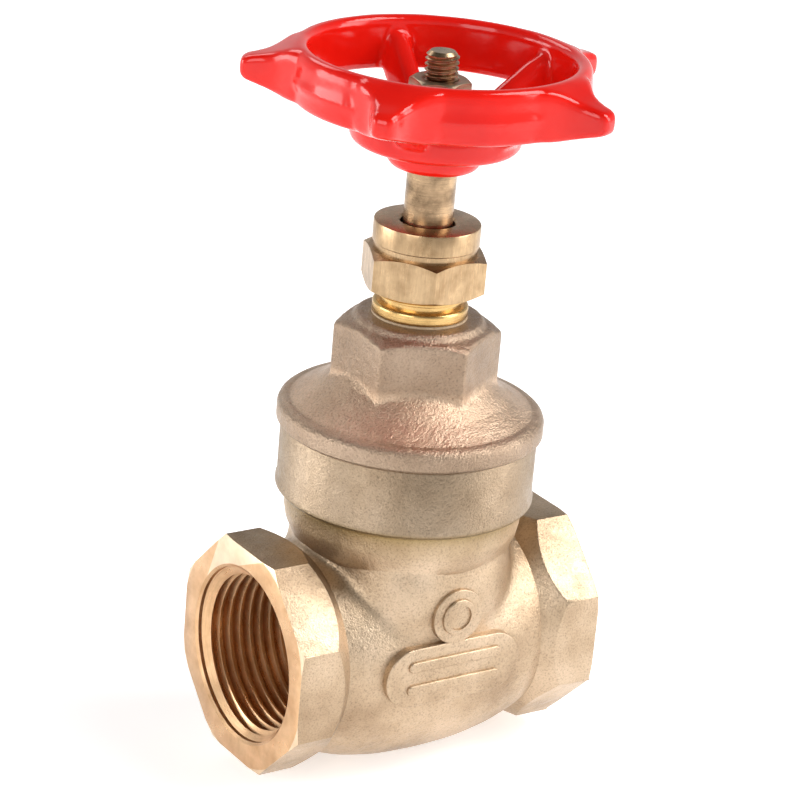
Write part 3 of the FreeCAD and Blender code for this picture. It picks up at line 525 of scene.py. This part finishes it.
# ------------------------------------------------------------------ handwheel
LOBES = 5
FIRST_LOBE = 3.95
PLATE_TOP = washer_low.z
PLATE_BOTTOM = PLATE_TOP - 4.4 * MM
RIM_BOTTOM = PLATE_TOP + 1.4 * MM
RIM_TOP = wheel_high.z
RIM_OUTER = 22.1 * MM
RIM_INNER = 19.35 * MM
SPOKE_FOOT = 5.4 * MM
SPOKE_TAPER = 0.5                # width of a spoke's back, as a share of its foot
LOBE_LEVEL = RIM_BOTTOM + (RIM_TOP - RIM_BOTTOM) * 0.46


def turn_about_stem(piece, degrees):
    pick(piece)
    bpy.ops.object.mode_set(mode="EDIT")
    bpy.ops.mesh.select_all(action="SELECT")
    bpy.ops.transform.rotate(value=-math.radians(degrees), orient_axis="Z", center_override=(STEM_X, 0, 0))
    return settle(piece.name)


def lobe():
    """One grip: a block that narrows in a hollow curve from the rim to a blunt nose."""
    # Reach from the stem, half width, and depth below and above the lobe's level, in millimetres.
    stations = [(20.6, 7.2, 3.7, 4.3), (22.2, 5.3, 3.6, 4.0), (23.6, 3.5, 3.2, 3.1),
                (25.2, 2.55, 2.75, 2.35), (27.0, 2.05, 2.2, 1.95), (28.4, 1.75, 1.9, 1.7),
                (29.1, 1.15, 1.3, 1.15)]
    leave_edit()
    reach, width, down, up = [value * MM for value in stations[0]]
    foot = (STEM_X + reach, 0, LOBE_LEVEL)
    bpy.ops.mesh.primitive_grid_add(x_subdivisions=6, y_subdivisions=4, size=1, location=foot,
                                    rotation=(math.pi / 2, 0, math.pi / 2))
    settle("lobe")
    bpy.ops.object.mode_set(mode="EDIT")
    bpy.ops.mesh.select_all(action="SELECT")
    bpy.ops.transform.resize(value=(1, 2 * width, down + up), center_override=foot)
    bpy.ops.transform.translate(value=(0, 0, (up - down) / 2))
    for following in stations[1:]:
        next_reach, next_width, next_down, next_up = [value * MM for value in following]
        bpy.ops.mesh.extrude_region_move(TRANSFORM_OT_translate={
            "value": (next_reach - reach, 0, (next_up - next_down) / 2 - (up - down) / 2)})
        middle = (STEM_X + next_reach, 0, LOBE_LEVEL + (next_up - next_down) / 2)
        value = (1, next_width / width, (next_up + next_down) / (up + down))
        bpy.ops.transform.resize(value=value, center_override=middle)
        reach, width, down, up = next_reach, next_width, next_down, next_up
    bpy.ops.mesh.select_all(action="SELECT")
    bpy.ops.mesh.normals_make_consistent(inside=False)
    piece = settle("lobe")
    smooth = piece.modifiers.new("round", "SUBSURF")
    smooth.levels = 2
    smooth.render_levels = 2
    return apply_all(piece)


def spoke():
    """One spoke: an arched rib with leaning sides and a round back that climbs from the plate to the rim."""
    # Reach from the stem, underside and back.
    stations = [(9.0 * MM, PLATE_BOTTOM + 0.4 * MM, PLATE_TOP + 1.2 * MM),
                (12.5 * MM, PLATE_BOTTOM + 2.1 * MM, PLATE_TOP + 3.6 * MM),
                (16.5 * MM, PLATE_BOTTOM + 4.4 * MM, PLATE_TOP + 6.2 * MM),
                (20.4 * MM, RIM_BOTTOM + 0.7 * MM, RIM_TOP - 1.7 * MM)]
    leave_edit()
    reach, low, high = stations[0]
    foot = (STEM_X + reach, 0, (low + high) / 2)
    bpy.ops.mesh.primitive_plane_add(size=1, location=foot, rotation=(0, math.pi / 2, 0))
    settle("spoke")
    bpy.ops.object.mode_set(mode="EDIT")
    bpy.ops.mesh.select_all(action="SELECT")
    bpy.ops.transform.resize(value=(1, SPOKE_FOOT, high - low), center_override=foot)
    for next_reach, next_low, next_high in stations[1:]:
        rise = (next_low + next_high - low - high) / 2
        bpy.ops.mesh.extrude_region_move(TRANSFORM_OT_translate={"value": (next_reach - reach, 0, rise)})
        middle = (STEM_X + next_reach, 0, (next_low + next_high) / 2)
        growth = (next_high - next_low) / (high - low)
        bpy.ops.transform.resize(value=(1, 1, growth), center_override=middle)
        reach, low, high = next_reach, next_low, next_high
    bpy.ops.mesh.select_all(action="SELECT")
    bpy.ops.mesh.normals_make_consistent(inside=False)
    piece = settle("spoke")
    backs = [(STEM_X + reach, high) for reach, low, high in stations]
    select_where(piece, lambda place: any(abs(place.x - x) < 1e-5 and abs(place.z - z) < 1e-5
                                          for x, z in backs))
    bpy.ops.transform.resize(value=(1, SPOKE_TAPER, 1), center_override=(STEM_X, 0, 0))
    return bevelled(settle("spoke"), 1.1 * MM, 4, 30)


def make_handwheel():
    rim = turned("rim", [(RIM_INNER, RIM_BOTTOM + 0.5 * MM), (RIM_INNER + 0.5 * MM, RIM_BOTTOM),
                         (RIM_OUTER - 1.0 * MM, RIM_BOTTOM), (RIM_OUTER - 0.35 * MM, RIM_BOTTOM + 0.5 * MM),
                         (RIM_OUTER - 0.15 * MM, LOBE_LEVEL - 1.1 * MM),
                         (RIM_OUTER + 0.3 * MM, LOBE_LEVEL - 0.55 * MM),
                         (RIM_OUTER + 0.3 * MM, LOBE_LEVEL - 0.1 * MM), (RIM_OUTER, LOBE_LEVEL + 0.5 * MM),
                         (RIM_OUTER - 0.25 * MM, RIM_TOP - 1.0 * MM),
                         (RIM_OUTER - 0.7 * MM, RIM_TOP - 0.25 * MM),
                         (RIM_OUTER - 1.2 * MM, RIM_TOP - 0.1 * MM),
                         (RIM_INNER + 0.8 * MM, RIM_TOP - 0.1 * MM),
                         (RIM_INNER + 0.15 * MM, RIM_TOP - 0.5 * MM), (RIM_INNER, RIM_TOP - 1.3 * MM),
                         (RIM_INNER, RIM_BOTTOM + 0.5 * MM)], centre=(STEM_X, 0), segments=192)
    hub = turned("hub", [(5.6 * MM, wheel_low.z), (6.5 * MM, wheel_low.z + 0.4 * MM),
                         (7.1 * MM, wheel_low.z + 1.3 * MM), (7.15 * MM, PLATE_BOTTOM),
                         (11.9 * MM, PLATE_BOTTOM), (12.7 * MM, PLATE_BOTTOM + 0.8 * MM),
                         (12.85 * MM, PLATE_TOP - 0.9 * MM), (12.3 * MM, PLATE_TOP + 0.1 * MM)],
                 centre=(STEM_X, 0))
    parts = [rim, hub]
    for index in range(LOBES):
        azimuth = FIRST_LOBE + 360 / LOBES * index
        parts.append(turn_about_stem(lobe(), azimuth))
        parts.append(turn_about_stem(spoke(), azimuth))
    wheel = cast(joined("handwheel_enamel", parts), 0.32 * MM, 24)
    square = bar_of_sides("square", 4, 5.26 * MM, wheel_low.z - 1 * MM, PLATE_TOP + 1 * MM, 45)
    return combine(wheel, square, "DIFFERENCE")


# ------------------------------------------------------------------ materials
def new_material(name):
    material = bpy.data.materials.new(name)
    material.use_nodes = True
    tree = material.node_tree
    return material, tree, tree.nodes["Principled BSDF"]


def noise(tree, scale, detail=4.0, roughness=0.6, stretch=None, seed=0.0):
    """Noise on Object coordinates; scale counts features per metre."""
    coordinates = tree.nodes.new("ShaderNodeTexCoord")
    mapping = tree.nodes.new("ShaderNodeMapping")
    mapping.inputs["Location"].default_value = (seed, seed * 0.7, seed * 1.3)
    mapping.inputs["Scale"].default_value = stretch or (1, 1, 1)
    texture = tree.nodes.new("ShaderNodeTexNoise")
    texture.inputs["Scale"].default_value = scale
    texture.inputs["Detail"].default_value = detail
    texture.inputs["Roughness"].default_value = roughness
    tree.links.new(coordinates.outputs["Object"], mapping.inputs["Vector"])
    tree.links.new(mapping.outputs["Vector"], texture.inputs["Vector"])
    return texture.outputs["Fac"]


def ramp(tree, source, stops):
    node = tree.nodes.new("ShaderNodeValToRGB")
    elements = node.color_ramp.elements
    while len(elements) > 1:
        elements.remove(elements[0])
    elements[0].position, elements[0].color = stops[0][0], (*stops[0][1], 1)
    for position, colour in stops[1:]:
        element = elements.new(position)
        element.color = (*colour, 1)
    tree.links.new(source, node.inputs["Fac"])
    return node.outputs["Color"]


def grey(value):
    return (value, value, value)


def mix(tree, factor, first, second, how="MIX"):
    node = tree.nodes.new("ShaderNodeMix")
    node.data_type = "RGBA"
    node.blend_type = how
    for name, value in (("Factor", factor), ("A", first), ("B", second)):
        socket = [s for s in node.inputs if s.name == name and s.enabled][0]
        if isinstance(value, (float, int)):
            socket.default_value = value
        elif isinstance(value, tuple):
            socket.default_value = (*value, 1)
        else:
            tree.links.new(value, socket)
    return [s for s in node.outputs if s.enabled][0]


def bump(tree, shader, height, strength, distance, after=None):
    node = tree.nodes.new("ShaderNodeBump")
    node.inputs["Strength"].default_value = strength
    node.inputs["Distance"].default_value = distance
    tree.links.new(height, node.inputs["Height"])
    if after is not None:
        tree.links.new(after, node.inputs["Normal"])
    tree.links.new(node.outputs["Normal"], shader.inputs["Normal"])
    return node.outputs["Normal"]


def height_mask(tree, stops):
    """Grey by height: stops lists (metres up, value)."""
    coordinates = tree.nodes.new("ShaderNodeTexCoord")
    split = tree.nodes.new("ShaderNodeSeparateXYZ")
    tree.links.new(coordinates.outputs["Object"], split.inputs["Vector"])
    low, high = stops[0][0], stops[-1][0]
    scale = tree.nodes.new("ShaderNodeMapRange")
    scale.inputs["From Min"].default_value = low
    scale.inputs["From Max"].default_value = high
    tree.links.new(split.outputs["Z"], scale.inputs["Value"])
    return ramp(tree, scale.outputs["Result"],
                [((level - low) / (high - low), grey(value)) for level, value in stops])


def cast_bronze(name, dark, mid, light, seed=0.0, roughness=0.36, grain_depth=0.00012, band=None,
                tone=None):
    """Sand-cast bronze: grainy skin, darker in its pits, with broad soft stains.

    band lists (height, amount) of the olive tarnish that gathers under the collar, and tone lists
    (height, grey) of how dark the skin is at each level. On the bonnet the tone is painted light: the dome
    is painted lighter where light from above falls, and the flange side and hexagon darker as painted shade.
    """
    material, tree, shader = new_material(name)
    broad = noise(tree, 85, 4, 0.5, seed=seed)
    skin = ramp(tree, broad, [(0.3, dark), (0.5, mid), (0.7, light)])
    if band:
        skin = mix(tree, height_mask(tree, band), skin, (0.30, 0.21, 0.07))
    if tone:
        skin = mix(tree, 1.0, skin, height_mask(tree, tone), "MULTIPLY")
    grain = noise(tree, 3300, 3, 0.6, seed=seed + 1)
    speckle = ramp(tree, grain, [(0.30, grey(0.45)), (0.46, grey(0.88)), (0.62, grey(1.0))])
    colour = mix(tree, 0.7, skin, speckle, "MULTIPLY")
    tree.links.new(colour, shader.inputs["Base Color"])
    rough = ramp(tree, noise(tree, 500, 3, 0.6, seed=seed + 2),
                 [(0.3, grey(roughness - 0.05)), (0.7, grey(roughness + 0.12))])
    tree.links.new(rough, shader.inputs["Roughness"])
    shader.inputs["Metallic"].default_value = 0.9
    fine = bump(tree, shader, grain, 0.6, grain_depth)
    bump(tree, shader, noise(tree, 900, 4, 0.6, seed=seed + 3), 0.4, grain_depth * 2.2, after=fine)
    return material


def brass(name, colour, dark, roughness, scratch=(1, 1, 40), strength=0.25, across=160):
    """Worked brass, with fine tool lines along one direction and a thin patchy tarnish."""
    material, tree, shader = new_material(name)
    lines = noise(tree, across, 4, 0.7, stretch=scratch)
    patches = noise(tree, 260, 4, 0.6, seed=3.0)
    tone = ramp(tree, patches, [(0.3, dark), (0.62, colour)])
    fine = ramp(tree, lines, [(0.3, grey(0.66)), (0.6, grey(1.0))])
    tree.links.new(mix(tree, 0.6, tone, fine, "MULTIPLY"), shader.inputs["Base Color"])
    rough = ramp(tree, lines, [(0.3, grey(roughness + 0.14)), (0.7, grey(roughness))])
    tree.links.new(rough, shader.inputs["Roughness"])
    shader.inputs["Metallic"].default_value = 1.0
    bump(tree, shader, lines, strength, 0.00005)
    return material


def enamel():
    """Thick glossy red enamel that has run a little as it dried."""
    material, tree, shader = new_material("red_enamel")
    tone = ramp(tree, noise(tree, 90, 3, 0.5), [(0.3, (0.62, 0.006, 0.003)), (0.7, (0.74, 0.011, 0.005))])
    shader.inputs["Specular IOR Level"].default_value = 0.4
    tree.links.new(tone, shader.inputs["Base Color"])
    rough = ramp(tree, noise(tree, 300, 3, 0.6), [(0.35, grey(0.10)), (0.7, grey(0.17))])
    tree.links.new(rough, shader.inputs["Roughness"])
    bump(tree, shader, noise(tree, 130, 2, 0.4, seed=5.0), 0.35, 0.0004)
    return material


def packing():
    material, tree, shader = new_material("packing_graphite")
    weave = noise(tree, 1500, 3, 0.6, stretch=(1, 1, 3))
    tree.links.new(ramp(tree, weave, [(0.35, (0.02, 0.02, 0.022)), (0.7, (0.09, 0.09, 0.095))]),
                   shader.inputs["Base Color"])
    shader.inputs["Roughness"].default_value = 0.6
    bump(tree, shader, weave, 0.6, 0.0002)
    return material


def fibre():
    material, tree, shader = new_material("joint_fibre")
    felt = noise(tree, 1800, 4, 0.7)
    tree.links.new(ramp(tree, felt, [(0.35, (0.42, 0.30, 0.18)), (0.7, (0.62, 0.50, 0.35))]),
                   shader.inputs["Base Color"])
    shader.inputs["Roughness"].default_value = 0.85
    bump(tree, shader, felt, 0.5, 0.0002)
    return material


# ------------------------------------------------------------------ put it together
bronze = cast_bronze("cast_bronze", (0.36, 0.25, 0.155), (0.52, 0.385, 0.255), (0.64, 0.49, 0.345),
                     band=[(18 * MM, 0.0), (21 * MM, 0.3), (22.6 * MM, 0.8), (23.2 * MM, 0.6),
                           (23.8 * MM, 0.0)],
                     tone=[(22 * MM, 1.0), (23.6 * MM, 0.66), (34 * MM, 0.66)])
# The bonnet's tone is painted light: a painted highlight on the dome, which faces the lamps above, and
# painted shade on the flange side and the hexagon.
bonnet_bronze = cast_bronze("bonnet_bronze", (0.50, 0.35, 0.235), (0.64, 0.46, 0.32),
                            (0.78, 0.58, 0.42), seed=7.0, roughness=0.34, grain_depth=0.00026,
                            tone=[(33 * MM, 0.55), (36.6 * MM, 0.6), (37.4 * MM, 1.0), (41.5 * MM, 0.95),
                                  (43 * MM, 0.60), (52 * MM, 0.56)])
machined = brass("machined_bronze", (0.88, 0.69, 0.49), (0.78, 0.58, 0.38), 0.26, scratch=(30, 1, 1),
                 strength=0.2)
thread_bronze = brass("thread_bronze", (0.78, 0.50, 0.28), (0.62, 0.36, 0.18), 0.24, scratch=(30, 1, 1),
                      strength=0.2)
drawn_brass = brass("drawn_brass", (0.54, 0.375, 0.215), (0.34, 0.22, 0.115), 0.24, scratch=(9, 9, 1),
                    across=240)
turned_brass = brass("turned_brass", (0.74, 0.49, 0.20), (0.52, 0.32, 0.12), 0.20)
stem_brass = brass("stem_brass", (0.54, 0.37, 0.22), (0.16, 0.105, 0.06), 0.22)
fixing_brass = brass("fixing_brass", (0.50, 0.38, 0.26), (0.28, 0.20, 0.13), 0.30)
red = enamel()
graphite = packing()
felt = fibre()

valve_body = finish_piece(make_body(), "body", "housing", bronze, 30)
face_and_bore(valve_body, machined, thread_bronze)
finish_piece(make_bonnet(), "bonnet", "housing", bonnet_bronze, 30)
finish_piece(make_gland_nut(), "gland_nut", "housing", drawn_brass, 30)
finish_piece(make_wheel_nut(), "handwheel_nut", "spindle", fixing_brass, 30)
finish_piece(make_washer(), "handwheel_washer", "spindle", fixing_brass, 30)
finish_piece(make_handwheel(), "handwheel", "spindle", red, 60)

node_materials = {"stuffing_box": turned_brass, "gland": turned_brass, "stem": stem_brass, "wedge": bronze,
                  "bonnet_joint_ring": felt, "stuffing_box_seal": felt}
node_materials.update({f"packing_ring_{index}": graphite for index in range(1, 5)})
for node, material in node_materials.items():
    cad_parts[node].data.materials.clear()
    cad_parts[node].data.materials.append(material)


# ------------------------------------------------------------------ floor, lights and camera
def stage_floor():
    leave_edit()
    bpy.ops.mesh.primitive_circle_add(vertices=96, radius=6, fill_type="NGON", location=(0, 0, body_low.z))
    floor = settle("floor")
    material, _, shader = new_material("floor")
    shader.inputs["Base Color"].default_value = (0.93, 0.925, 0.925, 1)
    shader.inputs["Roughness"].default_value = 0.7
    shader.inputs["Emission Color"].default_value = (1, 0.99, 0.985, 1)
    shader.inputs["Emission Strength"].default_value = 0.5
    floor.data.materials.append(material)


def soft_light(name, place, size, power):
    data = bpy.data.lights.new(name, "AREA")
    data.shape = "RECTANGLE"
    data.size, data.size_y = size
    data.energy = power
    lamp = bpy.data.objects.new(name, data)
    bpy.context.collection.objects.link(lamp)
    target = Vector((STEM_X, 0, 0.04))
    lamp.location = place
    lamp.rotation_mode = "QUATERNION"
    lamp.rotation_quaternion = (target - Vector(place)).to_track_quat("-Z", "Y")


def camera():
    azimuth, elevation, roll = math.radians(-34.983), math.radians(21.095), math.radians(5.121)
    target = Vector((STEM_X - 2.91 * MM, -1.16 * MM, 38.21 * MM))
    distance = 0.45132
    back = Vector((math.sin(azimuth) * math.cos(elevation), -math.cos(azimuth) * math.cos(elevation),
                   math.sin(elevation)))
    data = bpy.data.cameras.new("camera")
    data.lens = 135.70
    data.sensor_width = 36
    data.clip_start = 0.01
    view = bpy.data.objects.new("camera", data)
    bpy.context.collection.objects.link(view)
    view.location = target + back * distance
    view.rotation_mode = "QUATERNION"
    view.rotation_quaternion = back.to_track_quat("Z", "Y") @ Quaternion((0, 0, 1), roll)
    bpy.context.scene.camera = view


def studio():
    """A white room whose ceiling is dark, so that what faces up is darker than what faces the walls."""
    world = bpy.data.worlds.new("studio")
    world.use_nodes = True
    tree = world.node_tree
    coordinates = tree.nodes.new("ShaderNodeTexCoord")
    split = tree.nodes.new("ShaderNodeSeparateXYZ")
    tree.links.new(coordinates.outputs["Generated"], split.inputs["Vector"])
    tone = ramp(tree, split.outputs["Z"], [(0.0, grey(1.0)), (0.25, grey(0.85)), (0.5, grey(0.35)),
                                           (0.8, grey(0.12))])
    tree.links.new(tone, tree.nodes["Background"].inputs["Color"])
    tree.nodes["Background"].inputs["Strength"].default_value = 0.72
    bpy.context.scene.world = world


leave_edit()
stage_floor()
soft_light("key", (-0.75, -0.35, 0.38), (0.5, 0.5), 3.0)
soft_light("fill", (0.75, -0.55, 0.30), (0.5, 0.5), 4.0)
soft_light("overhead", (0.50, -0.33, 0.75), (0.5, 0.5), 6.4)
soft_light("side", (-0.72, 0.50, 0.10), (0.5, 0.4), 3.6)
soft_light("rear", (0.0, 0.8, 0.7), (0.5, 0.3), 1.5)
studio()
bpy.context.scene.view_settings.view_transform = "Standard"
camera()
